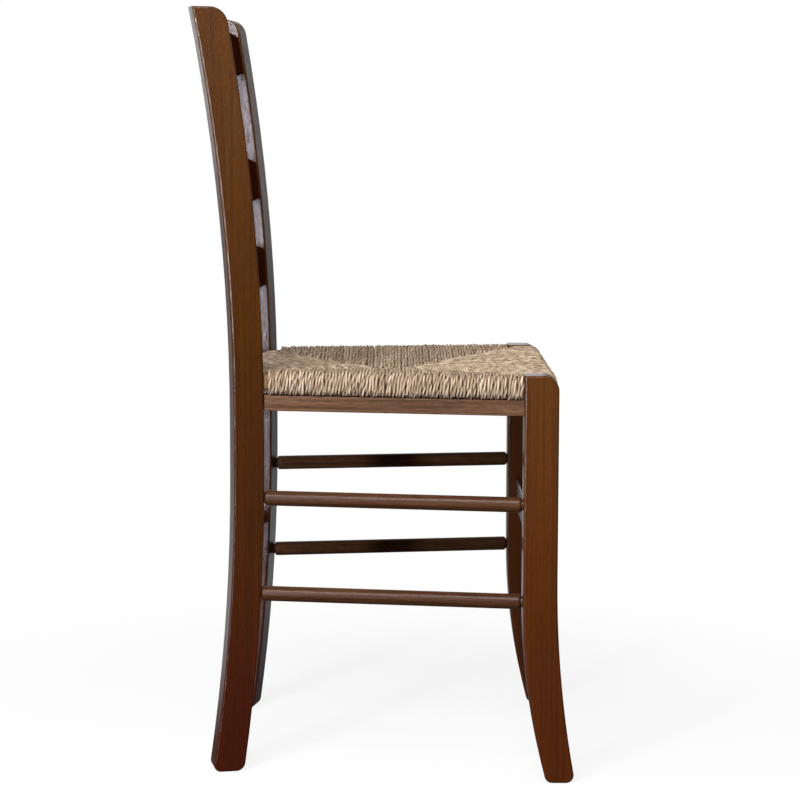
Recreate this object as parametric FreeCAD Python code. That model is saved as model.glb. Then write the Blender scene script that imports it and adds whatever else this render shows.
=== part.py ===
import FreeCAD, Part
import math
import os

from FreeCAD import Vector

# Ladderback dining chair in stained beech with a hand-woven rush seat.
# Millimetres, +Z up, the front of the chair towards -Y, the sitter's left hand towards +X.
# The origin lies on the floor under the middle of the chair.
os.makedirs("parts", exist_ok=True)

# Overall sizes
chair_height = 880.0
front_width = 440.0
rear_width = 342.0
frame_depth = 369.5
front_leg_height = 468.5

# Rear posts: curved planks, sawn from board and set with their front faces turned inwards
post_thickness = 33.0
post_depth = 35.4
post_turn_in = 12.4
post_back_upper_radius = 2500.0
post_back_lower_radius = 2300.0
post_front_upper_radius = 2640.0
post_front_lower_radius = 2400.0
post_straight_low = 342.0
post_straight_high = 405.0
post_head_radius = 21.0
post_heel_radius = 8.0
post_toe_radius = 11.0

# Front legs: upright square legs that sweep forward above the floor
leg_width = 38.0
leg_depth = 39.2
leg_front_radius = 1240.0
leg_front_sweep_start = 235.0
leg_back_radius = 790.0
leg_back_sweep_start = 210.0
leg_head_radius = 18.0
leg_foot_radius = 9.0

# Slats of the back, bent to an arc in plan and crowned above and below
top_slat_drop = 44.5
lower_slat_rise = 103.3
middle_slat_share = 0.411
slat_thickness = 12.0
slat_end_height = 46.5
slat_crown_above = 12.3
slat_crown_below = 5.8
slat_setback = 2.5
slat_tenon_height = 31.0
slat_tenon_thickness = 8.0
slat_tenon_length = 16.0

# Seat rails under the rush
rail_drop = 28.9
rail_height = 18.0
rail_thickness = 22.0
rail_tenon_height = 11.0
rail_tenon_thickness = 10.0
rail_edge_radius = 1.5

# Seat bars inside the rush
bar_height = 18.0
bar_width = 22.0
bar_corner_radius = 5.0
bar_tenon_diameter = 13.0

# Lengths of the tenons that cross in one leg or post, so that they don't meet
side_tenon_length = 11.0
cross_tenon_length = 16.0
rear_member_line = 16.0

# Rails, bars and rungs of the sides meet the post this far outside the middle of its face
side_member_shift = 5.0

# Stretchers
stretcher_diameter = 17.5
stretcher_tenon_diameter = 12.0
stretcher_tenon_length = 15.0
upper_side_stretcher_height = 319.0
lower_side_stretcher_height = 207.4
rear_stretcher_height = 253.0
front_stretcher_top = 296.0
front_stretcher_height = 38.0
front_stretcher_thickness = 17.0
front_stretcher_tenon_height = 26.0
front_stretcher_tenon_thickness = 9.0
front_stretcher_tenon_length = 18.0

# Rush, wound over the bars
rush_thickness = 5.1
rush_roll_radius = 13.0
rush_dish = 12.0
rush_rise_below = 2.0
rush_post_gap = 4.0
rush_web_step = 0.6
stuffing_layer = 5.5
stuffing_margin = 11.0

# Finish and fits
edge_radius = 2.5
mortise_clearance = 0.15
mortise_end_room = 1.0
shoulder_clearance = 0.3
rush_clearance = 0.4

# Places that follow from the sizes above
turn_in = math.radians(post_turn_in)
rear_line = frame_depth / 2
front_line = -frame_depth / 2
leg_back_line = front_line + leg_depth
leg_inner_line = front_width / 2 - leg_width
leg_centre_x = front_width / 2 - leg_width / 2
leg_centre_y = front_line + leg_depth / 2
post_corner = Vector(rear_width / 2, rear_line, 0)
post_forward = Vector(-math.sin(turn_in), -math.cos(turn_in), 0)
post_outward = Vector(math.cos(turn_in), -math.sin(turn_in), 0)
side_member_inset = post_thickness / 2 - side_member_shift
rail_top = front_leg_height - rail_drop
rush_bottom = rail_top + rush_clearance
bar_centre_z = rush_bottom + rush_thickness + bar_height / 2
rush_top = bar_centre_z + bar_height / 2 + rush_thickness
slat_heights = {
    "top": chair_height - top_slat_drop,
    "lower": rush_top + lower_slat_rise,
}
slat_heights["middle"] = (slat_heights["lower"]
                          + middle_slat_share * (slat_heights["top"] - slat_heights["lower"]))

# How far shapes that only cut or limit a piece run on past it
beyond = frame_depth
tall = chair_height + beyond


def bow(z, start, radius):
    """How far an edge, upright at height start, has moved sideways at height z on its arc."""
    rise = z - start
    return radius - math.sqrt(radius * radius - rise * rise)


def post_back(z):
    """Distance of the post's back edge in front of the corner line, along its turned face."""
    if z > post_straight_high:
        return -bow(z, post_straight_high, post_back_upper_radius)
    if z < post_straight_low:
        return -bow(z, post_straight_low, post_back_lower_radius)
    return 0.0


def post_front(z):
    """Distance of the post's front edge in front of the corner line, along its turned face."""
    if z > post_straight_high:
        return post_depth - bow(z, post_straight_high, post_front_upper_radius)
    if z < post_straight_low:
        return post_depth - bow(z, post_straight_low, post_front_lower_radius)
    return post_depth


def leg_back(z):
    """Distance of the front leg's back edge in front of its straight back face."""
    if z < leg_back_sweep_start:
        return bow(z, leg_back_sweep_start, leg_back_radius)
    return 0.0


def leg_front(z):
    """Distance of the front leg's front edge in front of its straight back face."""
    if z < leg_front_sweep_start:
        return leg_depth + bow(z, leg_front_sweep_start, leg_front_radius)
    return leg_depth


def edge_along(reach, z_from, z_to, curved):
    """One edge of a sawn outline, a straight line or an arc through its middle height."""
    start = Vector(0, -reach(z_from), z_from)
    end = Vector(0, -reach(z_to), z_to)
    if not curved:
        return Part.LineSegment(start, end).toShape()
    z_middle = (z_from + z_to) / 2
    middle = Vector(0, -reach(z_middle), z_middle)
    return Part.Arc(start, middle, end).toShape()


def sawn_board(back_edges, front_edges, thickness):
    """A board of the given thickness from x = 0 to -thickness, closed between two sawn edges."""
    top = Part.LineSegment(back_edges[-1].lastVertex().Point, front_edges[0].firstVertex().Point)
    bottom = Part.LineSegment(front_edges[-1].lastVertex().Point, back_edges[0].firstVertex().Point)
    outline = back_edges + [top.toShape()] + front_edges + [bottom.toShape()]
    return Part.Face(Part.Wire(outline)).extrude(Vector(-thickness, 0, 0))


def round_corner(board, corner, radius):
    """Rounds the edge across the board's thickness that starts at a corner of its outline."""
    for edge in board.Edges:
        ends = [vertex.Point for vertex in edge.Vertexes]
        across = all(abs(p.y - corner.y) < 0.01 and abs(p.z - corner.z) < 0.01 for p in ends)
        if len(ends) == 2 and across:
            return board.makeFillet(radius, [edge])
    raise ValueError("no edge lies at that corner of the outline")


def ease_outline(board, thickness, radius, lowest):
    """Eases the long edges of both broad faces, above the part that stands on the floor."""
    edges = []
    for edge in board.Edges:
        box = edge.BoundBox
        on_face = box.XLength < 0.01 and min(abs(box.XMin), abs(box.XMin + thickness)) < 0.01
        if on_face and box.ZMax > lowest:
            edges.append(edge)
    return board.makeFillet(radius, edges)


def prism(points, bottom, top):
    """An upright prism over plan points, between two heights."""
    ring = [Vector(p.x, p.y, bottom) for p in points]
    face = Part.Face(Part.makePolygon(ring + [ring[0]]))
    return face.extrude(Vector(0, 0, top - bottom))


def mirrored_x(point):
    return Vector(-point.x, point.y, point.z)


def other_side(shape):
    """The same piece for the sitter's right, mirrored in the chair's middle plane."""
    return shape.mirror(Vector(0, 0, 0), Vector(1, 0, 0))


def post_point(reach, inset, z):
    """A point in the left post: reach forward of the corner line, inset from the outer face."""
    return post_corner + post_forward * reach - post_outward * inset + Vector(0, 0, z)


def between_posts(extension):
    """The space between the inner faces of the posts, each face moved out by extension."""
    foot = post_point(0, post_thickness - extension, 0)
    back = foot - post_forward * post_depth * 3
    front = foot + post_forward * post_depth * 3
    return prism([back, front, mirrored_x(front), mirrored_x(back)], 0, tall)


def between_legs(extension):
    """The space between the inner faces of the front legs, each moved out by extension."""
    reach = leg_inner_line + extension
    corners = [Vector(reach, front_line - beyond), Vector(reach, 0)]
    return prism(corners + [mirrored_x(p) for p in reversed(corners)], 0, tall)


def post_to_leg(z, into_post, into_leg):
    """The space on the left from the post's front face at height z to the leg's back face."""
    face_middle = post_point(post_front(z) - into_post, side_member_inset, 0)
    outer = face_middle + post_outward * front_width / 2
    inner = face_middle - post_outward * rear_width / 3
    leg_face = leg_back_line - into_leg
    return prism([outer, Vector(outer.x, leg_face), Vector(inner.x, leg_face), inner], 0, tall)


def side_line(z):
    """The two ends, on the post's face and on the leg's face, of a side member's middle line."""
    at_post = post_point(post_front(z), side_member_inset, z)
    at_leg = Vector(leg_centre_x, leg_back_line, z)
    return at_post, at_leg


def bar_between(start, end, width, height, radius):
    """A straight bar on a line, run on past both ends, with its four long edges rounded."""
    overrun = 2 * cross_tenon_length
    along = end - start
    length = along.Length + 2 * overrun
    bar = Part.makeBox(width, length, height, Vector(-width / 2, 0, -height / 2))
    if radius > 0:
        long_edges = [edge for edge in bar.Edges if edge.BoundBox.YLength > length - 0.01]
        bar = bar.makeFillet(radius, long_edges)
    heading = math.degrees(math.atan2(along.y, along.x)) - 90
    bar.rotate(Vector(0, 0, 0), Vector(0, 0, 1), heading)
    bar.translate(start - along.normalize() * overrun)
    return bar


def rod_between(start, end, diameter):
    along = end - start
    return Part.makeCylinder(diameter / 2, along.Length, start, along)


def turned_end(z, slant, way):
    """Half a rung's outline at one end: tenon, rounded fall and the start of its round body.

    The face that it meets lies off square by slant, so the body stops that much short of it.
    """
    body = stretcher_diameter / 2
    tenon = stretcher_tenon_diameter / 2
    shoulder = shoulder_clearance + tenon * math.tan(slant)
    fall = body - tenon
    lean = fall * (1 - math.sqrt(0.5))
    return [
        Vector(0, 0, z - way * stretcher_tenon_length),
        Vector(tenon, 0, z - way * stretcher_tenon_length),
        Vector(tenon, 0, z + way * shoulder),
        Vector(body - lean, 0, z + way * (shoulder + lean)),
        Vector(body, 0, z + way * (shoulder + fall)),
    ]


def turned_stretcher(start, end, start_slant, end_slant):
    """A turned rung: a round body, rounded down at each end to a tenon that enters a bored hole."""
    length = (end - start).Length
    first = turned_end(0, start_slant, 1)
    last = turned_end(length, end_slant, -1)
    lines = [
        (first[0], first[1]), (first[1], first[2]), (first[4], last[4]),
        (last[2], last[1]), (last[1], last[0]), (last[0], first[0]),
    ]
    edges = [Part.LineSegment(a, b).toShape() for a, b in lines]
    edges.insert(2, Part.Arc(first[2], first[3], first[4]).toShape())
    edges.insert(4, Part.Arc(last[4], last[3], last[2]).toShape())
    rung = Part.Face(Part.Wire(edges)).revolve(Vector(0, 0, 0), Vector(0, 0, 1), 360)
    rung.Placement = FreeCAD.Placement(start, FreeCAD.Rotation(Vector(0, 0, 1), end - start))
    return rung


def stretcher_holes(start, end):
    """The bored holes for the two tenons of a turned rung, as one rod through both."""
    along = (end - start).normalize()
    reach = stretcher_tenon_length + mortise_end_room
    bore = stretcher_tenon_diameter + 2 * mortise_clearance
    near = rod_between(start - along * reach, start + along * reach, bore)
    far = rod_between(end - along * reach, end + along * reach, bore)
    return [near, far]


# Slats


def crowned_edge(z, half_span, crown, reach):
    """A slat's upper or lower edge from x = -reach to reach.

    It passes the posts, half_span out, at height z and rises or falls by crown to its middle.
    """
    if crown == 0:
        return Part.LineSegment(Vector(-reach, 0, z), Vector(reach, 0, z)).toShape()
    radius = (half_span ** 2 + crown ** 2) / (2 * abs(crown))
    end_z = z + crown - math.copysign(bow(reach, 0, radius), crown)
    middle = Vector(0, 0, z + crown)
    return Part.Arc(Vector(-reach, 0, end_z), middle, Vector(reach, 0, end_z)).toShape()


def slat_board(z, thickness, end_height, crown_above, crown_below, setback, overrun):
    """A board bent to an arc in plan, crowned above and below, and tilted with the posts.

    Its front face meets the inner face of each post squarely, setback behind the post's front edge.
    """
    end = post_point(post_front(z) - setback, post_thickness, 0)
    radius = end.x / math.sin(turn_in)
    centre = Vector(0, end.y - radius * math.cos(turn_in), z - end_height)
    outer = Part.makeCylinder(radius + thickness, 2 * end_height, centre)
    bent = outer.cut(Part.makeCylinder(radius, 2 * end_height, centre))
    reach = end.x + overrun
    top = crowned_edge(z + end_height / 2, end.x, crown_above, reach)
    low = crowned_edge(z - end_height / 2, end.x, -crown_below, reach)
    sides = [
        Part.LineSegment(top.lastVertex().Point, low.lastVertex().Point).toShape(),
        Part.LineSegment(low.firstVertex().Point, top.firstVertex().Point).toShape(),
    ]
    front = Part.Face(Part.Wire([top, sides[0], low, sides[1]]))
    front.translate(Vector(0, end.y - end_height, 0))
    board = front.extrude(Vector(0, 4 * end_height, 0)).common(bent)
    lean = math.asin((z - post_straight_high) / post_front_upper_radius)
    board.rotate(Vector(0, end.y, z), Vector(1, 0, 0), -math.degrees(lean))
    return board


def slat_body(z):
    """The part of a slat that shows, with its long edges eased, cut to the posts' inner faces."""
    board = slat_board(z, slat_thickness, slat_end_height, slat_crown_above, slat_crown_below,
                       slat_setback, slat_thickness)
    crowned = [e for e in board.Edges if e.BoundBox.XLength > rear_width / 2]
    return board.makeFillet(edge_radius, crowned).common(between_posts(0))


def slat_tenons(z, clearance, length):
    """The thinner, lower tongue at each end of a slat, or its mortise if clearance is given."""
    setback = slat_setback + (slat_thickness - slat_tenon_thickness) / 2 - clearance
    tongue = slat_board(z, slat_tenon_thickness + 2 * clearance,
                        slat_tenon_height + 2 * clearance, 0, 0, setback, 2 * length)
    return tongue.common(between_posts(length)).cut(between_posts(-slat_setback))


def slat(z):
    return slat_body(z).fuse(slat_tenons(z, 0, slat_tenon_length))


# Straight rails and bars of the seat, each with a tenon at both ends


def seat_members(z, width, height, radius):
    """The four straight members at one height round the seat, each longer than it ends up."""
    post_end, leg_end = side_line(z)
    rear_end = post_point(rear_member_line, post_thickness, z)
    front_end = Vector(leg_inner_line, leg_centre_y, z)
    return {
        "left": bar_between(post_end, leg_end, width, height, radius),
        "rear": bar_between(rear_end, mirrored_x(rear_end), width, height, radius),
        "front": bar_between(front_end, mirrored_x(front_end), width, height, radius),
    }


def seat_spaces(z, extension_side, extension_cross):
    """The clear spaces that the seat's members fill, run on into the wood by an extension."""
    return {
        "left": post_to_leg(z, extension_side, extension_side),
        "rear": between_posts(extension_cross),
        "front": between_legs(extension_cross),
    }


def tenoned_members(z, body, tenon):
    """Seat members with shoulders just clear of the wood and tenons that run into it."""
    shoulders = seat_spaces(z, -shoulder_clearance, -shoulder_clearance)
    reaches = seat_spaces(z, side_tenon_length, cross_tenon_length)
    bodies = seat_members(z, *body)
    cores = seat_members(z, *tenon)
    return {
        place: bodies[place].common(shoulders[place]).fuse(cores[place].common(reaches[place]))
        for place in bodies
    }


def mortises(z, tenon):
    """What is cut from posts and legs for the tenons of the members at one height."""
    width, height, radius = tenon
    room = 2 * mortise_clearance
    cutters = seat_members(z, width + room, height + room, radius + min(radius, room / 2))
    reaches = seat_spaces(z, side_tenon_length + mortise_end_room,
                          cross_tenon_length + mortise_end_room)
    return [cutters[place].common(reaches[place]) for place in cutters]


rail_centre_z = rail_top - rail_height / 2
rail_section = (rail_thickness, rail_height, rail_edge_radius)
rail_tenon = (rail_tenon_thickness, rail_tenon_height, 0)
bar_section = (bar_width, bar_height, bar_corner_radius)
bar_tenon = (bar_tenon_diameter, bar_tenon_diameter, bar_tenon_diameter / 3)

rails = tenoned_members(rail_centre_z, rail_section, rail_tenon)
bars = tenoned_members(bar_centre_z, bar_section, bar_tenon)

# Stretchers between the legs

side_stretchers = {}
stretcher_bores = []
for name, z in (("upper", upper_side_stretcher_height), ("lower", lower_side_stretcher_height)):
    post_end, leg_end = side_line(z)
    splay = math.atan2(leg_end.x - post_end.x, post_end.y - leg_end.y)
    side_stretchers[name] = turned_stretcher(post_end, leg_end, turn_in + splay, splay)
    stretcher_bores += stretcher_holes(post_end, leg_end)

rear_end = post_point((post_back(rear_stretcher_height) + post_front(rear_stretcher_height)) / 2,
                      post_thickness, rear_stretcher_height)
rear_stretcher = turned_stretcher(mirrored_x(rear_end), rear_end, turn_in, turn_in)
stretcher_bores += stretcher_holes(mirrored_x(rear_end), rear_end)


def front_board(thickness, height, radius, extension):
    """The flat front stretcher, or its tenons, between the inner faces of the front legs."""
    z = front_stretcher_top - front_stretcher_height / 2
    end = Vector(leg_inner_line, leg_centre_y, z)
    return bar_between(end, mirrored_x(end), thickness, height, radius).common(
        between_legs(extension))


front_stretcher = front_board(front_stretcher_thickness, front_stretcher_height, edge_radius,
                              -shoulder_clearance)
front_stretcher = front_stretcher.fuse(
    front_board(front_stretcher_tenon_thickness, front_stretcher_tenon_height, 0,
                front_stretcher_tenon_length))
front_stretcher_mortises = front_board(
    front_stretcher_tenon_thickness + 2 * mortise_clearance,
    front_stretcher_tenon_height + 2 * mortise_clearance, 0,
    front_stretcher_tenon_length + mortise_end_room)

# Posts and legs


def make_post():
    """The left rear post: a plank sawn to a double curve, head and foot rounded, edges eased."""
    back = [
        edge_along(post_back, 0, post_straight_low, True),
        edge_along(post_back, post_straight_low, post_straight_high, False),
        edge_along(post_back, post_straight_high, chair_height, True),
    ]
    front = [
        edge_along(post_front, chair_height, post_straight_high, True),
        edge_along(post_front, post_straight_high, post_straight_low, False),
        edge_along(post_front, post_straight_low, 0, True),
    ]
    post = sawn_board(back, front, post_thickness)
    post = round_corner(post, Vector(0, -post_front(chair_height), chair_height), post_head_radius)
    post = round_corner(post, Vector(0, -post_back(0), 0), post_heel_radius)
    post = round_corner(post, Vector(0, -post_front(0), 0), post_toe_radius)
    post = ease_outline(post, post_thickness, edge_radius, 1.0)
    post.rotate(Vector(0, 0, 0), Vector(0, 0, 1), -post_turn_in)
    post.translate(post_corner)
    return post


def make_leg():
    """The left front leg: upright above, swept forward and tapered below, rounded at its head."""
    back = [
        edge_along(leg_back, 0, leg_back_sweep_start, True),
        edge_along(leg_back, leg_back_sweep_start, front_leg_height, False),
    ]
    front = [
        edge_along(leg_front, front_leg_height, leg_front_sweep_start, False),
        edge_along(leg_front, leg_front_sweep_start, 0, True),
    ]
    leg = sawn_board(back, front, leg_width)
    leg = round_corner(leg, Vector(0, -leg_depth, front_leg_height), leg_head_radius)
    leg = round_corner(leg, Vector(0, -leg_back(0), 0), leg_foot_radius)
    leg = round_corner(leg, Vector(0, -leg_front(0), 0), leg_foot_radius)
    leg = ease_outline(leg, leg_width, edge_radius, 1.0)
    leg.translate(Vector(front_width / 2, leg_back_line, 0))
    return leg


plain_post = make_post()
plain_leg = make_leg()
slat_mortises = [
    slat_tenons(z, mortise_clearance, slat_tenon_length + mortise_end_room)
    for z in slat_heights.values()
]
seat_mortises = mortises(rail_centre_z, rail_tenon) + mortises(bar_centre_z, bar_tenon)
post = plain_post.cut(slat_mortises + seat_mortises + stretcher_bores)
leg = plain_leg.cut(seat_mortises + stretcher_bores + [front_stretcher_mortises])

# Rush seat: rushes twisted into a cord and wound over the four bars from the corners inwards


def pillow(corners, edge_top, edge_bottom, middle, dish_above, dish_below):
    """A closed four-sided pad whose upper and lower faces fall to a point in the middle."""
    top = [Vector(p.x, p.y, edge_top) for p in corners]
    low = [Vector(p.x, p.y, edge_bottom) for p in corners]
    top_middle = Vector(middle.x, middle.y, edge_top - dish_above)
    low_middle = Vector(middle.x, middle.y, edge_bottom + dish_below)
    faces = []
    for i in range(4):
        j = (i + 1) % 4
        for ring in ([top[i], top[j], top_middle], [low[i], low[j], low_middle],
                     [top[i], top[j], low[j], low[i]]):
            faces.append(Part.Face(Part.makePolygon(ring + [ring[0]])))
    shell = Part.makeShell(faces)
    solid = Part.makeSolid(shell)
    return solid if solid.Volume > 0 else solid.reversed()


def seat_corners(inset):
    """The corners of the seat on the bars' middle lines, drawn in by an inset, left ones first."""
    post_end, leg_end = side_line(bar_centre_z)
    rear_y = post_point(rear_member_line, post_thickness, 0).y - inset
    front_y = leg_centre_y + inset
    slope = (leg_end.x - post_end.x) / (leg_end.y - post_end.y)
    rear_x = post_end.x + slope * (rear_y - post_end.y) - inset
    front_x = post_end.x + slope * (front_y - post_end.y) - inset
    return [Vector(rear_x, rear_y), Vector(front_x, front_y),
            Vector(-front_x, front_y), Vector(-rear_x, rear_y)]


def make_stuffing(grow):
    """The dry rush packed between the upper and the lower layer, grown for its pocket."""
    inset = bar_width / 2 + stuffing_margin - grow
    corners = seat_corners(inset)
    middle = (corners[0] + corners[1] + corners[2] + corners[3]) * 0.25
    return pillow(corners, rush_top - stuffing_layer + grow,
                  rush_bottom + stuffing_layer - grow, middle, rush_dish, rush_rise_below)


def make_rush():
    width = bar_width + 2 * rush_thickness
    height = rush_top - rush_bottom
    rolls = seat_members(bar_centre_z, width, height, rush_roll_radius)
    spaces = seat_spaces(bar_centre_z, -rush_clearance, -rush_clearance)
    spaces["left"] = post_to_leg(bar_centre_z, -rush_post_gap, -rush_clearance)
    left_roll = rolls["left"].common(spaces["left"])
    rear_roll = rolls["rear"].common(spaces["rear"])
    front_roll = rolls["front"].common(spaces["front"])
    corners = seat_corners(0)
    middle = (corners[0] + corners[1] + corners[2] + corners[3]) * 0.25
    web = pillow(corners, rush_top - rush_web_step, rush_bottom + rush_web_step, middle,
                 rush_dish, rush_rise_below)
    rush = web.fuse([left_roll, other_side(left_roll), rear_roll, front_roll])
    return rush.cut(wood_in_seat()).cut(make_stuffing(rush_clearance))


def wood_in_seat():
    """Everything that the rush goes round, a little larger than it is."""
    room = rush_clearance
    left_post = prism([
        post_point(-post_depth, -room, 0),
        post_point(post_depth + room, -room, 0),
        post_point(post_depth + room, post_thickness + room, 0),
        post_point(-post_depth, post_thickness + room, 0),
    ], 0, tall)
    left_leg = Part.makeBox(leg_width + 2 * room, leg_depth + beyond + room, tall,
                            Vector(leg_inner_line - room, front_line - beyond, 0))
    wound = seat_members(bar_centre_z, bar_width + 2 * room, bar_height + 2 * room,
                         bar_corner_radius)
    reach = seat_spaces(bar_centre_z, side_tenon_length, side_tenon_length)
    bars_inside = [wound[place].common(reach[place]) for place in wound]
    pieces = [left_post, left_leg] + bars_inside
    return pieces + [other_side(piece) for piece in (left_post, left_leg, bars_inside[0])]


rush_seat = make_rush()
seat_stuffing = make_stuffing(0)

# All the pieces by name, left and right for someone sitting in the chair

pieces = {
    "rear_post_left": post,
    "rear_post_right": other_side(post),
    "front_leg_left": leg,
    "front_leg_right": other_side(leg),
    "top_slat": slat(slat_heights["top"]),
    "middle_slat": slat(slat_heights["middle"]),
    "lower_slat": slat(slat_heights["lower"]),
    "seat_rail_left": rails["left"],
    "seat_rail_right": other_side(rails["left"]),
    "seat_rail_rear": rails["rear"],
    "seat_rail_front": rails["front"],
    "seat_bar_left": bars["left"],
    "seat_bar_right": other_side(bars["left"]),
    "seat_bar_rear": bars["rear"],
    "seat_bar_front": bars["front"],
    "upper_side_stretcher_left": side_stretchers["upper"],
    "upper_side_stretcher_right": other_side(side_stretchers["upper"]),
    "lower_side_stretcher_left": side_stretchers["lower"],
    "lower_side_stretcher_right": other_side(side_stretchers["lower"]),
    "rear_stretcher": rear_stretcher,
    "front_stretcher": front_stretcher,
    "seat_stuffing": seat_stuffing,
    "rush_seat": rush_seat,
}

# The middle of the whole chair comes over the origin
outer_box = Part.makeCompound(list(pieces.values())).optimalBoundingBox(False, False)
to_middle = Vector(0, -outer_box.Center.y, 0)
for name, piece in pieces.items():
    placed = piece.copy()
    placed.translate(to_middle)
    placed.Solids[0].exportStep(os.path.join("parts", name + ".step"))
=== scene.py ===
import math
import random

import bpy
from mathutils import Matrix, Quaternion, Vector


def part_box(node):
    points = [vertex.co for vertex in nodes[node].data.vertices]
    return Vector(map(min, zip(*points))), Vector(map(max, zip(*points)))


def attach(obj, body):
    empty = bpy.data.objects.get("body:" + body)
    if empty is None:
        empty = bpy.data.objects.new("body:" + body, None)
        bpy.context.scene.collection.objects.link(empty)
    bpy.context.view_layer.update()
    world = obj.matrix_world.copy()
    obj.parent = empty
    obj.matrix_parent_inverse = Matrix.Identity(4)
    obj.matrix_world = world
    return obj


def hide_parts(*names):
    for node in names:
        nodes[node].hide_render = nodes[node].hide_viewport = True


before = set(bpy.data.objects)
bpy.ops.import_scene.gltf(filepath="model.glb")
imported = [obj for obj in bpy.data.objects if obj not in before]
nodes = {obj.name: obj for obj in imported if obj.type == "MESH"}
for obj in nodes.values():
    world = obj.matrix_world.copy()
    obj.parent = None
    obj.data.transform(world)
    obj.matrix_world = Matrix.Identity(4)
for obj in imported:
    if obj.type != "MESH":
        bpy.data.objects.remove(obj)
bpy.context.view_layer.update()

# View: the chair in profile from the sitter's right, a little above the seat, with a long lens.
camera_place = Vector((-2.9496, -0.0144, 0.7391))
camera_yaw = math.radians(-0.129)
camera_pitch = math.radians(-6.238)
camera_roll = math.radians(0.181)
camera_lens_mm = 109.94

camera = bpy.data.objects.new("profile_camera", bpy.data.cameras.new("profile_camera"))
bpy.context.scene.collection.objects.link(camera)
sight = Vector((
    math.cos(camera_pitch) * math.cos(camera_yaw),
    math.cos(camera_pitch) * math.sin(camera_yaw),
    math.sin(camera_pitch),
))
camera.location = camera_place
camera.rotation_mode = "QUATERNION"
camera.rotation_quaternion = sight.to_track_quat("-Z", "Y") @ Quaternion((0, 0, 1), camera_roll)
camera.data.lens = camera_lens_mm
camera.data.sensor_width = 36.0
bpy.context.scene.camera = camera
bpy.context.scene.view_settings.view_transform = "Standard"


# Floor and room: white paper under the chair, a white wall beyond it and a dim room behind the
# viewer. The paper shows as white, and only its faint shadow comes from the light.
def linear(hex_colour):
    """An sRGB colour, written as on a paint card, as the linear colour that a socket takes."""
    channels = [int(hex_colour[i:i + 2], 16) / 255 for i in (1, 3, 5)]
    return [c / 12.92 if c <= 0.04045 else ((c + 0.055) / 1.055) ** 2.4 for c in channels] + [1.0]


def new_material(name):
    """An empty node tree under a finish's own name, with its output node."""
    material = bpy.data.materials.new(name)
    material.use_nodes = True
    tree = material.node_tree
    tree.nodes.clear()
    return material, tree, tree.nodes.new("ShaderNodeOutputMaterial")


def add(tree, kind, settings=None, **inputs):
    """One node with its settings; each input is a link from a socket or a plain value."""
    node = tree.nodes.new(kind)
    for name, value in (settings or {}).items():
        setattr(node, name, value)
    for name, value in inputs.items():
        key = int(name[1:]) if name[0] == "i" and name[1:].isdigit() else name.replace("_", " ")
        socket = node.inputs[key]
        if isinstance(value, bpy.types.NodeSocket):
            tree.links.new(value, socket)
        else:
            socket.default_value = value
    return node


def maths(tree, operation, *values):
    """The result of one arithmetic step; each value is a socket or a plain number."""
    given = {"i" + str(place): value for place, value in enumerate(values)}
    return add(tree, "ShaderNodeMath", {"operation": operation}, **given).outputs[0]


def plane(name, size, height):
    """A square lying flat at a height."""
    half = size / 2
    mesh = bpy.data.meshes.new(name)
    corners = [(-half, -half, height), (half, -half, height), (half, half, height),
               (-half, half, height)]
    mesh.from_pydata(corners, [], [(0, 1, 2, 3)])
    made = bpy.data.objects.new(name, mesh)
    bpy.context.scene.collection.objects.link(made)
    return made


# The camera sees nearly pure white; the chair gets the dim, warm light that floor boards throw
# back on the viewer's side, and the paler light of paper on the far side.
paper, tree, output = new_material("white backdrop paper")
rays = add(tree, "ShaderNodeLightPath")
spot = add(tree, "ShaderNodeTexCoord").outputs["Object"]
place = add(tree, "ShaderNodeSeparateXYZ", i0=spot)
far_side = add(tree, "ShaderNodeMapRange", i0=place.outputs["X"], i1=0.0, i2=0.8, i3=0.0, i4=1.0)
boards = add(tree, "ShaderNodeMix", {"data_type": "RGBA"}, i0=far_side.outputs[0],
             i6=linear("#5a4a3e"), i7=linear("#dcdcdc"))
tone = add(tree, "ShaderNodeMix", {"data_type": "RGBA"}, i0=rays.outputs["Is Camera Ray"],
           i6=boards.outputs[2], i7=linear("#ececec"))
matt = add(tree, "ShaderNodeBsdfDiffuse", Color=tone.outputs[2])
glow = add(tree, "ShaderNodeEmission", Color=(1, 1, 1, 1), Strength=1.0)
away = add(tree, "ShaderNodeVectorMath", {"operation": "LENGTH"}, i0=spot)
whiter = add(tree, "ShaderNodeMapRange", {"interpolation_type": "SMOOTHSTEP"},
             i0=away.outputs["Value"], i1=0.3, i2=1.1, i3=0.86, i4=1.0)
seen = maths(tree, "MULTIPLY", rays.outputs["Is Camera Ray"], whiter.outputs[0])
shown = add(tree, "ShaderNodeMixShader", i0=seen, i1=matt.outputs[0], i2=glow.outputs[0])
tree.links.new(shown.outputs[0], output.inputs["Surface"])
floor = plane("floor", 40.0, 0.0)
floor.data.materials.append(paper)

# What the lacquer mirrors: a white wall beyond the chair with two dark openings in it
world = bpy.data.worlds.new("room")
bpy.context.scene.world = world
world.use_nodes = True
tree = world.node_tree
tree.nodes.clear()
output = tree.nodes.new("ShaderNodeOutputWorld")
way = add(tree, "ShaderNodeSeparateXYZ", i0=add(tree, "ShaderNodeTexCoord").outputs["Generated"])
beyond = add(tree, "ShaderNodeMapRange", {"interpolation_type": "SMOOTHSTEP"},
             i0=way.outputs["X"], i1=0.3, i2=0.8, i3=0.05, i4=1.0)
across = maths(tree, "MULTIPLY_ADD", way.outputs["Y"], 0.5, 0.5)
openings = add(tree, "ShaderNodeValToRGB", Fac=across)
bands = openings.color_ramp.elements
for place, grey in ((0.21, 0.05), (0.25, 0.95), (0.31, 0.95), (0.35, 0.04), (0.43, 0.04)):
    bands.new(place).color = (grey, grey, grey, 1)
bands[0].color = (0.05, 0.05, 0.05, 1)
bands[-1].position = 0.475
walls = maths(tree, "MULTIPLY", beyond.outputs[0], openings.outputs[0])
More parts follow.
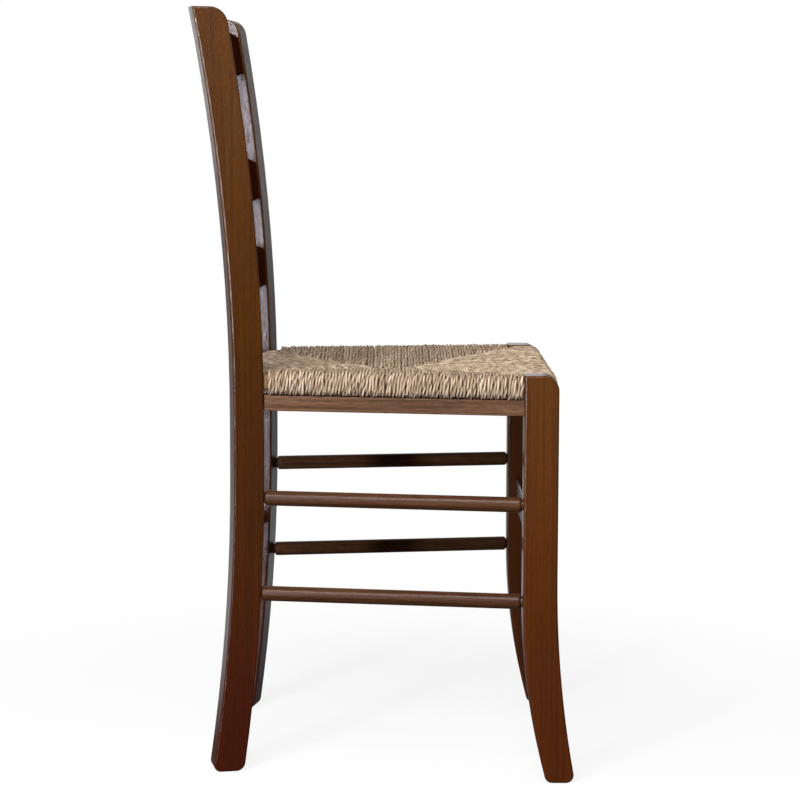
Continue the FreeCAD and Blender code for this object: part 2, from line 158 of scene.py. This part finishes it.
rays = add(tree, "ShaderNodeLightPath")
soft = add(tree, "ShaderNodeMix", {"data_type": "FLOAT"}, i0=rays.outputs["Is Diffuse Ray"],
           i2=walls, i3=0.24)
level = add(tree, "ShaderNodeMix", {"data_type": "FLOAT"}, i0=rays.outputs["Is Camera Ray"],
            i2=soft.outputs[0], i3=1.0)
sky = add(tree, "ShaderNodeBackground", Color=(1, 1, 1, 1), Strength=level.outputs[0])
tree.links.new(sky.outputs[0], output.inputs["Surface"])


# Lights: a large softbox above the side that faces the viewer, and a tall narrow window level
# with the viewer on the left, which glints on rounded edges and in the lacquer of the far post.
def softbox(name, place, aim, width, height, watts):
    """A flat lamp that faces a point, as a window or a studio softbox does."""
    lamp = bpy.data.lights.new(name, "AREA")
    lamp.shape = "RECTANGLE"
    lamp.size = width
    lamp.size_y = height
    lamp.energy = watts
    made = bpy.data.objects.new(name, lamp)
    bpy.context.scene.collection.objects.link(made)
    made.location = place
    made.rotation_mode = "QUATERNION"
    made.rotation_quaternion = (Vector(aim) - Vector(place)).to_track_quat("-Z", "Y")
    return made


softbox("overhead_softbox", (-1.8, 0.45, 2.2), (0, 0, 0.5), 1.4, 1.0, 76.0)
window = softbox("side_window", (-2.75, 1.55, 0.75), (0, 0, 0.6), 0.2, 1.9, 105.0)
window.data.color = linear("#e2eaff")[:3]


# Posts, legs and slats: beech sawn from board, stained walnut brown and sprayed with satin
# lacquer. The grain runs along each piece, with short ray flecks and darker growth lines.
def along_grain(tree, axis, turn):
    """Object coordinates turned so that the grain runs along local Z, in metres."""
    spin = {"x": (0, math.pi / 2, 0), "y": (math.pi / 2, 0, 0), "z": (0, 0, 0)}[axis]
    place = add(tree, "ShaderNodeTexCoord").outputs["Object"]
    if turn:
        place = add(tree, "ShaderNodeMapping", Vector=place, Rotation=(0, 0, turn)).outputs[0]
    return add(tree, "ShaderNodeMapping", Vector=place, Rotation=spin).outputs[0]


def stretched(tree, grain, across, along, detail=2.0, roughness=0.5, distortion=0.0):
    """Noise whose spots are longer along the grain: counts per metre across and along it."""
    scaled = add(tree, "ShaderNodeVectorMath", {"operation": "MULTIPLY"}, i0=grain,
                 i1=(across, across, along))
    noise = add(tree, "ShaderNodeTexNoise", Vector=scaled.outputs[0], Scale=1.0, Detail=detail,
                Roughness=roughness, Distortion=distortion)
    return noise.outputs["Fac"]


def ramp(tree, factor, *stops):
    """A colour ramp; each stop is its place and its colour as written on a paint card."""
    node = add(tree, "ShaderNodeValToRGB", Fac=factor)
    bands = node.color_ramp.elements
    while len(bands) < len(stops):
        bands.new(0.5)
    for band, (place, colour) in zip(bands, stops):
        band.position = place
        band.color = linear(colour)
    return node.outputs["Color"]


def blended(tree, kind, amount, below, above):
    """Two colours laid over each other with a blend mode."""
    node = add(tree, "ShaderNodeMix", {"data_type": "RGBA", "blend_type": kind}, i0=amount,
               i6=below, i7=above)
    return node.outputs[2]


def span(tree, value, low, high, to_low, to_high):
    """A value brought from one range to another and held within it."""
    return add(tree, "ShaderNodeMapRange", i0=value, i1=low, i2=high, i3=to_low,
               i4=to_high).outputs[0]


def stained_beech(name, axis, stain_and_painted_shade, turn=0.0, flecks=0.4, figure=0.45, gloss=0.32, shine=0.2,
                  coat=0.45, dimples=0.3):
    """Stained beech under satin lacquer, with cloudy staining, growth lines and ray flecks.

    The colour given is one colour, or stops of height in metres and colour from the floor upwards.
    Such stops paint shade that darkens the wood towards the floor and sheen that lightens it towards
    the top. The dimples are those of lacquer that dried unevenly.
    """
    material, tree, output = new_material(name)
    grain = along_grain(tree, axis, turn)
    cloud = stretched(tree, grain, 22.0, 3.0, detail=3.0)
    lines = stretched(tree, grain, 260.0, 4.0, detail=3.0, roughness=0.6, distortion=0.3)
    fine = stretched(tree, grain, 1500.0, 60.0, detail=2.0, roughness=0.6)
    fleck = stretched(tree, grain, 900.0, 130.0, detail=1.0)
    if isinstance(stain_and_painted_shade, str):
        colour = linear(stain_and_painted_shade)
    else:
        # Stops by height: painted shade darkens the lower part and painted sheen lightens the upper
        # part
        place = add(tree, "ShaderNodeSeparateXYZ",
                    i0=add(tree, "ShaderNodeTexCoord").outputs["Object"])
        colour = ramp(tree, place.outputs["Z"], *stain_and_painted_shade)
    cloud_shade = ramp(tree, cloud, (0.3, "#e2dcd6"), (0.6, "#ffffff"))
    colour = blended(tree, "MULTIPLY", 0.8, colour, cloud_shade)
    line_shade = ramp(tree, lines, (0.34, "#8f8a86"), (0.5, "#e0dcd8"), (0.66, "#ffffff"))
    colour = blended(tree, "MULTIPLY", figure, colour, line_shade)
    fine_shade = ramp(tree, fine, (0.3, "#b4aca6"), (0.6, "#ffffff"))
    colour = blended(tree, "MULTIPLY", figure + 0.1, colour, fine_shade)
    fleck_shade = ramp(tree, fleck, (0.64, "#ffffff"), (0.72, "#7c6f66"))
    colour = blended(tree, "MULTIPLY", flecks, colour, fleck_shade)
    peel = add(tree, "ShaderNodeTexNoise", Vector=grain, Scale=330.0, Detail=1.0)
    height = maths(tree, "MULTIPLY_ADD", fine, 0.35, peel.outputs["Fac"])
    bump = add(tree, "ShaderNodeBump", Strength=dimples, Distance=0.0006, Height=height)
    skin = add(tree, "ShaderNodeBsdfPrincipled", Base_Color=colour, Normal=bump.outputs[0],
               Roughness=span(tree, lines, 0.3, 0.7, gloss + 0.06, gloss - 0.06))
    skin.inputs["Specular IOR Level"].default_value = shine
    skin.inputs["Coat Weight"].default_value = coat
    skin.inputs["Coat Roughness"].default_value = 0.12
    tree.links.new(bump.outputs[0], skin.inputs["Coat Normal"])
    tree.links.new(skin.outputs[0], output.inputs["Surface"])
    return material


def dress(names, material):
    """Gives CAD nodes one finish, in a single material slot."""
    for name in names:
        piece = nodes[name]
        piece.data.materials.clear()
        piece.data.materials.append(material)


# Posts by height: walnut stain with painted shade, darker and redder towards the floor, and painted
# sheen, paler towards the top
post_stain_and_painted_shade = ((0.05, "#431403"), (0.26, "#442003"), (0.56, "#4f2a05"), (0.85, "#553417"))
post_beech = stained_beech("walnut stained beech, posts", "z", post_stain_and_painted_shade, dimples=0.8)
dress(["rear_post_left", "rear_post_right"], post_beech)
# Front legs by height: walnut stain with painted shade darker towards the floor and painted sheen
# paler towards the top
leg_stain_and_painted_shade = ((0.06, "#542504"), (0.26, "#562a03"), (0.44, "#5b3410"))
leg_beech = stained_beech("walnut stained beech, front legs", "z", leg_stain_and_painted_shade)
dress(["front_leg_left", "front_leg_right"], leg_beech)
slat_beech = stained_beech("walnut stained beech, slats", "x", "#4a1f08", shine=0.0, coat=0.0)
dress(["top_slat", "middle_slat", "lower_slat"], slat_beech)

# Rungs: beech turned to a round rod and stained like the frame; the front one is a flat board.
rung_splay = 0.1618
both_sides = (("left", -rung_splay), ("right", rung_splay))
for side, turn in both_sides:
    turned = stained_beech("walnut stained rung, " + side, "y", "#5c3c25", turn=turn, figure=0.8,
                           shine=0.1, coat=0.05)
    dress(["upper_side_stretcher_" + side, "lower_side_stretcher_" + side], turned)
rear_rung = stained_beech("walnut stained rung, rear", "x", "#5c3c25", figure=0.8, shine=0.1,
                          coat=0.05)
dress(["rear_stretcher"], rear_rung)
front_board = stained_beech("walnut stained beech, front stretcher", "x", "#502808")
dress(["front_stretcher"], front_board)

# Seat rails: plainer beech under the rush, stained with less care, so its grain shows more.
for side, turn in both_sides:
    rail = stained_beech("thinly stained rail, " + side, "y", "#7a5a42", turn=turn, flecks=0.7,
                         figure=0.9, gloss=0.75, shine=0.1, coat=0.0)
    dress(["seat_rail_" + side], rail)
cross_rail = stained_beech("thinly stained rail, across", "x", "#7a5a42", flecks=0.7, figure=0.9,
                           gloss=0.75, shine=0.1, coat=0.0)
dress(["seat_rail_rear", "seat_rail_front"], cross_rail)

# Seat bars: plain planed beech inside the rush, which only shows between cords.
for side, turn in both_sides:
    planed = stained_beech("planed beech bar, " + side, "y", "#7a5f43", turn=turn, gloss=0.6,
                           shine=0.05, coat=0.0)
    dress(["seat_bar_" + side], planed)
cross_planed = stained_beech("planed beech bar, across", "x", "#7a5f43", gloss=0.6, shine=0.05,
                             coat=0.0)
dress(["seat_bar_rear", "seat_bar_front"], cross_planed)

# Rush seat: damp rushes twisted into a cord as it is wound, over each bar from the corners
# inwards. Cords run in from all four bars and dive between the layers along the mitre lines.
cord_thick = 0.0042
cord_pitch = 0.0038
cord_twist_pitch = 0.032
cord_scatter = 0.0003
cord_step = 0.006
layer_thick = 0.0051
seat_dish = 0.012
seat_rise_below = 0.002
seat_middle_y = -0.0105
front_bulge = 0.004
dive_depth = 0.0065
dive_length = 0.0035
mitre_scatter = 0.0016
middle_gap = 0.0006
rear_corner_sink = 0.006
sink_from_roll = 0.005
sink_length = 0.009

# The bars' section and middle lines, with a little slack where the cords lie on the wood
slack_beside = 0.00025
slack_above = 0.0001
bar_half_width = 0.0110 + slack_beside
bar_half_height = 0.0090 + slack_above
bar_height_centre = 0.4541
front_bar_y = -0.18038
rear_bar_y = 0.16098
bar_at_post = Vector((0.15226, 0.13786))
bar_at_leg = Vector((0.201, -0.16078))

# Where the cords end beside the legs and posts, and the mitre lines along which the cords of two
# neighbouring bars meet and dive
side_rear_y = 0.1300
side_front_y = -0.1606
rear_reach = 0.1315
front_reach = 0.1815
mitre_rear = Vector((0.1313, 0.1400))
mitre_rear_middle = 0.008
mitre_front = Vector((0.1818, -0.1606))
mitre_front_middle = -0.021


def side_bar_x(y):
    """How far the middle line of a side bar lies from the middle of the chair, at y."""
    share = (y - bar_at_post.y) / (bar_at_leg.y - bar_at_post.y)
    return bar_at_post.x + share * (bar_at_leg.x - bar_at_post.x)


def fullness(x, y):
    """1 at the bars and 0 at the lowest point in the middle, flat between like a pillow's face."""
    side = 1 - (side_bar_x(y) - abs(x)) / side_bar_x(seat_middle_y)
    rear = (y - seat_middle_y) / (rear_bar_y - seat_middle_y)
    front = (seat_middle_y - y) / (seat_middle_y - front_bar_y)
    return min(1.0, max(side, rear, front))


def cord_path(inner, outer, flat_point, bulge=0.0, sink=0.0):
    """One cord: in from the mitre over the top, round the bar, and back underneath.

    inner and outer are distances along the cord's own line; flat_point turns such a distance
    into a place in plan. The roll stands out by bulge, and the layer sinks by sink beside it.
    """
    half = bar_half_width + layer_thick - cord_thick / 2 + bulge
    tall = bar_half_height + layer_thick - cord_thick / 2
    corner = 0.0112
    low_corner = 0.0055
    top_in = outer - half + corner
    runs = max(3, int((top_in - inner) / cord_step))
    over = []
    under = []
    for step in range(runs + 1):
        reach = inner + (top_in - inner) * step / runs
        place = flat_point(reach)
        hollow = 1 - fullness(place.x, place.y)
        dive = dive_depth * math.exp(-(reach - inner) / dive_length)
        beside = sink * math.exp(-((top_in - sink_from_roll - reach) / sink_length) ** 2)
        top = bar_height_centre + tall - seat_dish * hollow - dive - beside
        bottom = bar_height_centre - tall + seat_rise_below * hollow + dive
        over.append((place.x, place.y, top))
        under.append((place.x, place.y, bottom))
    arc_in = outer + half - corner
    low_in = outer + half - low_corner
    for step in range(1, 8):
        angle = math.pi / 2 * (1 - step / 7)
        place = flat_point(arc_in + corner * math.cos(angle))
        height = tall - corner + corner * math.sin(angle)
        over.append((place.x, place.y, bar_height_centre + height))
    for step in range(6):
        angle = -math.pi / 2 * step / 5
        place = flat_point(low_in + low_corner * math.cos(angle))
        height = low_corner - tall + low_corner * math.sin(angle)
        over.append((place.x, place.y, bar_height_centre + height))
    return over + under[::-1]


def side_cords(way, rng):
    """Cords wound over a side bar; way is 1 for the sitter's left and -1 for the right."""
    count = int((side_rear_y - side_front_y) / cord_pitch)
    pitch = (side_rear_y - side_front_y) / count
    paths = []
    for i in range(count):
        y = side_front_y + (i + 0.5) * pitch + rng.uniform(-cord_scatter, cord_scatter)
        if y > mitre_rear_middle:
            inner = mitre_rear.x * (y - mitre_rear_middle) / (mitre_rear.y - mitre_rear_middle)
        elif y < mitre_front_middle:
            inner = (mitre_front.x * (y - mitre_front_middle)
                     / (mitre_front.y - mitre_front_middle))
        else:
            inner = middle_gap
        outer = side_bar_x(y)
        inner = min(inner + rng.uniform(0.0, mitre_scatter), outer - cord_step)
        skew = rng.uniform(-0.0012, 0.0012)

        def flat_point(reach, y=y, skew=skew, outer=outer):
            sway = skew * max(0.0, 1 - reach / outer)
            return Vector((way * reach, y + sway))

        paths.append(cord_path(inner, outer, flat_point))
    return paths


def cross_cords(way, rng):
    """Cords wound over the rear bar, way 1, or the front bar, way -1."""
    if way > 0:
        reach_out, mitre, middle, outer = rear_reach, mitre_rear, mitre_rear_middle, rear_bar_y
    else:
        reach_out, mitre, middle, outer = front_reach, mitre_front, mitre_front_middle, -front_bar_y
    bulge = 0.0 if way > 0 else front_bulge
    count = int(2 * reach_out / cord_pitch)
    pitch = 2 * reach_out / count
    paths = []
    for i in range(count):
        x = -reach_out + (i + 0.5) * pitch + rng.uniform(-cord_scatter, cord_scatter)
        inner = way * (middle + (mitre.y - middle) * abs(x) / mitre.x)
        inner = min(inner + rng.uniform(0.0, mitre_scatter), outer - cord_step)
        skew = rng.uniform(-0.0014, 0.0014)
        sink = rear_corner_sink * abs(x) / reach_out if way > 0 else 0.0

        def flat_point(reach, x=x, skew=skew):
            sway = skew * max(0.0, 1 - reach / outer)
            return Vector((x + sway, way * reach))

        paths.append(cord_path(inner, outer, flat_point, bulge=bulge, sink=sink))
    return paths


def cord_tree():
    """The Geometry Nodes tree that turns lines into lumpy twisted cords of two strands."""
    tree = bpy.data.node_groups.new("rush cord", "GeometryNodeTree")
    face = tree.interface
    face.new_socket("Lines", in_out="INPUT", socket_type="NodeSocketGeometry")
    for name, value in (("Cord Radius", cord_thick / 2), ("Twist Pitch", cord_twist_pitch),
                        ("Wander", 0.0036), ("Step", 0.0028)):
        socket = face.new_socket(name, in_out="INPUT", socket_type="NodeSocketFloat")
        socket.default_value = value
    seed = face.new_socket("Seed", in_out="INPUT", socket_type="NodeSocketInt")
    seed.default_value = 1
    face.new_socket("Finish", in_out="INPUT", socket_type="NodeSocketMaterial")
    face.new_socket("Cords", in_out="OUTPUT", socket_type="NodeSocketGeometry")
    given = tree.nodes.new("NodeGroupInput").outputs
    result = tree.nodes.new("NodeGroupOutput")

    # Even points, a lot number for each cord and the distance along it, kept for the finish
    lines = add(tree, "GeometryNodeResampleCurve", {"mode": "LENGTH"}, Curve=given["Lines"],
                Length=given["Step"])
    index = add(tree, "GeometryNodeInputIndex").outputs[0]
    lot = add(tree, "FunctionNodeRandomValue", {"data_type": "FLOAT"}, i2=0.0, i3=1.0,
              ID=index, Seed=given["Seed"])
    strand = add(tree, "GeometryNodeStoreNamedAttribute",
                 {"data_type": "FLOAT", "domain": "CURVE"}, Geometry=lines.outputs[0],
                 Name="cord_lot", Value=lot.outputs[1])
    lot_here = add(tree, "GeometryNodeInputNamedAttribute", {"data_type": "FLOAT"},
                   Name="cord_lot").outputs[0]
    reach = add(tree, "GeometryNodeSplineParameter").outputs["Length"]
    strand = add(tree, "GeometryNodeStoreNamedAttribute",
                 {"data_type": "FLOAT", "domain": "POINT"}, Geometry=strand.outputs[0],
                 Name="cord_reach", Value=reach)

    # Twist: a steady turn that slips a little, as hand twisting does
    turns = maths(tree, "DIVIDE", reach, given["Twist Pitch"])
    slip = maths(tree, "MULTIPLY_ADD", lot_here, 7.0, turns)
    uneven = add(tree, "ShaderNodeTexNoise", {"noise_dimensions": "4D"}, W=lot_here, Scale=45.0,
                 Detail=0.0)
    slip = maths(tree, "MULTIPLY_ADD", uneven.outputs["Fac"], 0.8, slip)
    tilted = add(tree, "GeometryNodeSetCurveTilt", Curve=strand.outputs[0],
                 Tilt=maths(tree, "MULTIPLY", slip, 2 * math.pi))

    # Wander: the cord leaves its straight line by a few millimetres
    shake = add(tree, "ShaderNodeTexNoise", {"noise_dimensions": "4D"}, Scale=36.0, Detail=2.0,
                W=maths(tree, "MULTIPLY", lot_here, 40.0))
    centred = add(tree, "ShaderNodeVectorMath", {"operation": "SUBTRACT"},
                  i0=shake.outputs["Color"], i1=(0.5, 0.5, 0.5))
    sway = add(tree, "ShaderNodeVectorMath", {"operation": "SCALE"}, i0=centred.outputs[0],
               Scale=given["Wander"])
    moved = add(tree, "GeometryNodeSetPosition", Geometry=tilted.outputs[0],
                Offset=sway.outputs[0])

    # Section: two strands side by side, thicker where a rush was added
    lump = add(tree, "ShaderNodeTexNoise", {"noise_dimensions": "4D"}, Scale=150.0, Detail=2.0,
               W=maths(tree, "MULTIPLY", lot_here, 90.0))
    swell = add(tree, "ShaderNodeMapRange", i0=lump.outputs["Fac"], i1=0.25, i2=0.75, i3=0.84,
                i4=1.16)
    round_profile = add(tree, "GeometryNodeCurvePrimitiveCircle", Resolution=10, Radius=1.0)
    spot = add(tree, "GeometryNodeInputPosition").outputs[0]
    parts = add(tree, "ShaderNodeSeparateXYZ", i0=spot)
    turn = maths(tree, "ARCTAN2", parts.outputs["Y"], parts.outputs["X"])
    ring = add(tree, "GeometryNodeStoreNamedAttribute",
               {"data_type": "FLOAT_VECTOR", "domain": "POINT"},
               Geometry=round_profile.outputs[0], Name="cord_ring", Value=spot)
    lobe = maths(tree, "COSINE", maths(tree, "MULTIPLY", turn, 2.0))
    lobed = add(tree, "ShaderNodeVectorMath", {"operation": "SCALE"}, i0=spot,
                Scale=maths(tree, "MULTIPLY_ADD", lobe, 0.19, 0.92))
    profile = add(tree, "GeometryNodeSetPosition", Geometry=ring.outputs[0],
                  Position=lobed.outputs[0])
    girth = maths(tree, "MULTIPLY", swell.outputs[0], given["Cord Radius"])
    tube = add(tree, "GeometryNodeCurveToMesh", Curve=moved.outputs[0],
               Profile_Curve=profile.outputs[0], Scale=girth, Fill_Caps=True)
    smooth = add(tree, "GeometryNodeSetShadeSmooth", Geometry=tube.outputs[0])
    whole = add(tree, "GeometryNodeRealizeInstances", Geometry=smooth.outputs[0])
    finish = add(tree, "GeometryNodeSetMaterial", Geometry=whole.outputs[0],
                 Material=given["Finish"])
    tree.links.new(finish.outputs[0], result.inputs[0])
    return tree


def rush_finish():
    """Dried rush: straw to olive brown leaves, with fibres that follow the cord's twist."""
    material, tree, output = new_material("twisted dry rush")
    lot = add(tree, "ShaderNodeAttribute", {"attribute_name": "cord_lot"}).outputs["Fac"]
    reach = add(tree, "ShaderNodeAttribute", {"attribute_name": "cord_reach"}).outputs["Fac"]
    ring = add(tree, "ShaderNodeAttribute", {"attribute_name": "cord_ring"}).outputs["Vector"]
    parts = add(tree, "ShaderNodeSeparateXYZ", i0=ring)
    along = maths(tree, "MULTIPLY_ADD", lot, 9.0, reach)
    leaf_place = add(tree, "ShaderNodeCombineXYZ",
                     i0=maths(tree, "MULTIPLY", parts.outputs["X"], 1.6),
                     i1=maths(tree, "MULTIPLY", parts.outputs["Y"], 1.6),
                     i2=maths(tree, "MULTIPLY", along, 28.0))
    leaf = add(tree, "ShaderNodeTexNoise", Vector=leaf_place.outputs[0], Scale=1.0, Detail=1.0)
    fibre_place = add(tree, "ShaderNodeVectorMath", {"operation": "MULTIPLY"},
                      i0=leaf_place.outputs[0], i1=(6.0, 6.0, 2.2))
    fibre = add(tree, "ShaderNodeTexNoise", Vector=fibre_place.outputs[0], Scale=1.0, Detail=2.0)
    mixed = maths(tree, "MULTIPLY_ADD", lot, 0.14,
                  maths(tree, "MULTIPLY", leaf.outputs["Fac"], 0.86))
    colour = ramp(tree, mixed, (0.28, "#8c7559"), (0.44, "#b49b7e"),
                  (0.56, "#ccb395"), (0.7, "#e6d3b7"))
    # Painted shade: the grooves between the two strands of each cord are darkened in the colour
    lobes = maths(tree, "SUBTRACT",
                  maths(tree, "MULTIPLY", parts.outputs["X"], parts.outputs["X"]),
                  maths(tree, "MULTIPLY", parts.outputs["Y"], parts.outputs["Y"]))
    painted_crease_shade = ramp(tree, span(tree, lobes, -1.0, 0.3, 0.0, 1.0), (0.0, "#6b5844"),
                  (1.0, "#ffffff"))
    colour = blended(tree, "MULTIPLY", 0.85, colour, painted_crease_shade)
    fibre_shade = ramp(tree, fibre.outputs["Fac"], (0.3, "#a08c78"), (0.55, "#ffffff"))
    colour = blended(tree, "MULTIPLY", 0.6, colour, fibre_shade)
    bump = add(tree, "ShaderNodeBump", Strength=0.8, Distance=0.0006,
               Height=fibre.outputs["Fac"])
    skin = add(tree, "ShaderNodeBsdfPrincipled", Base_Color=colour, Normal=bump.outputs[0],
               Roughness=0.55)
    skin.inputs["Specular IOR Level"].default_value = 0.35
    tree.links.new(skin.outputs[0], output.inputs["Surface"])
    return material


rush_cord = cord_tree()
rush_skin = rush_finish()
socket_names = {item.name: item.identifier for item in rush_cord.interface.items_tree
                if item.in_out == "INPUT"}


def wound(name, paths, seed):
    """Cords along the given paths as one plain mesh on the chair."""
    lines = bpy.data.curves.new(name + "_lines", "CURVE")
    lines.dimensions = "3D"
    for path in paths:
        spline = lines.splines.new("POLY")
        spline.points.add(len(path) - 1)
        for point, place in zip(spline.points, path):
            point.co = (*place, 1.0)
    carrier = bpy.data.objects.new(name + "_lines", lines)
    bpy.context.scene.collection.objects.link(carrier)
    modifier = carrier.modifiers.new("cords", "NODES")
    modifier.node_group = rush_cord
    modifier[socket_names["Seed"]] = seed
    modifier[socket_names["Finish"]] = rush_skin
    bpy.context.view_layer.update()
    graph = bpy.context.evaluated_depsgraph_get()
    mesh = bpy.data.meshes.new_from_object(carrier.evaluated_get(graph), depsgraph=graph)
    carrier.modifiers.clear()
    bpy.data.objects.remove(carrier)
    made = bpy.data.objects.new(name, mesh)
    bpy.context.scene.collection.objects.link(made)
    mesh.materials.clear()
    mesh.materials.append(rush_skin)
    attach(made, "root")
    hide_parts("rush_seat")


rng = random.Random(7)
wound("rush_left", side_cords(1, rng), 11)
wound("rush_right", side_cords(-1, rng), 12)
wound("rush_rear", cross_cords(1, rng), 13)
wound("rush_front", cross_cords(-1, rng), 14)


# Stuffing: dry rush packed between the two layers of cord, seen only through gaps.
def pad(name, count):
    """A lumpy pad inside the CAD stuffing's box, dished like the seat above and below."""
    low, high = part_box("seat_stuffing")
    lumps = random.Random(5)
    places = []
    faces = []
    for layer in (0, 1):
        for j in range(count + 1):
            for i in range(count + 1):
                u = 2 * i / count - 1
                v = j / count
                y = low[1] + (high[1] - low[1]) * v
                half = side_bar_x(y) - (side_bar_x(low[1]) - high[0])
                full = fullness(u * half, y)
                edge = max(abs(u), abs(2 * v - 1)) > 0.999
                lump = 0.0 if edge else lumps.uniform(0.0, 0.0006)
                if layer:
                    z = high[2] - seat_dish * (1 - full) - lump
                else:
                    z = low[2] + seat_rise_below * (1 - full) + lump
                places.append((u * half, y, z))
    row = count + 1
    for j in range(count):
        for i in range(count):
            under = j * row + i
            over = under + row * row
            faces.append((under, under + row, under + row + 1, under + 1))
            faces.append((over, over + 1, over + row + 1, over + row))
    rim = ([(0, i) for i in range(row)] + [(j, row - 1) for j in range(1, row)]
           + [(row - 1, i) for i in range(row - 2, -1, -1)] + [(j, 0) for j in range(row - 2, 0, -1)])
    ring = [j * row + i for j, i in rim]
    for here, there in zip(ring, ring[1:] + ring[:1]):
        faces.append((here, there, there + row * row, here + row * row))
    mesh = bpy.data.meshes.new(name)
    mesh.from_pydata(places, [], faces)
    made = bpy.data.objects.new(name, mesh)
    bpy.context.scene.collection.objects.link(made)
    return made


stuffing = pad("dry_rush_stuffing", 24)
stuffing.data.materials.append(rush_skin)
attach(stuffing, "root")
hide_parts("seat_stuffing")
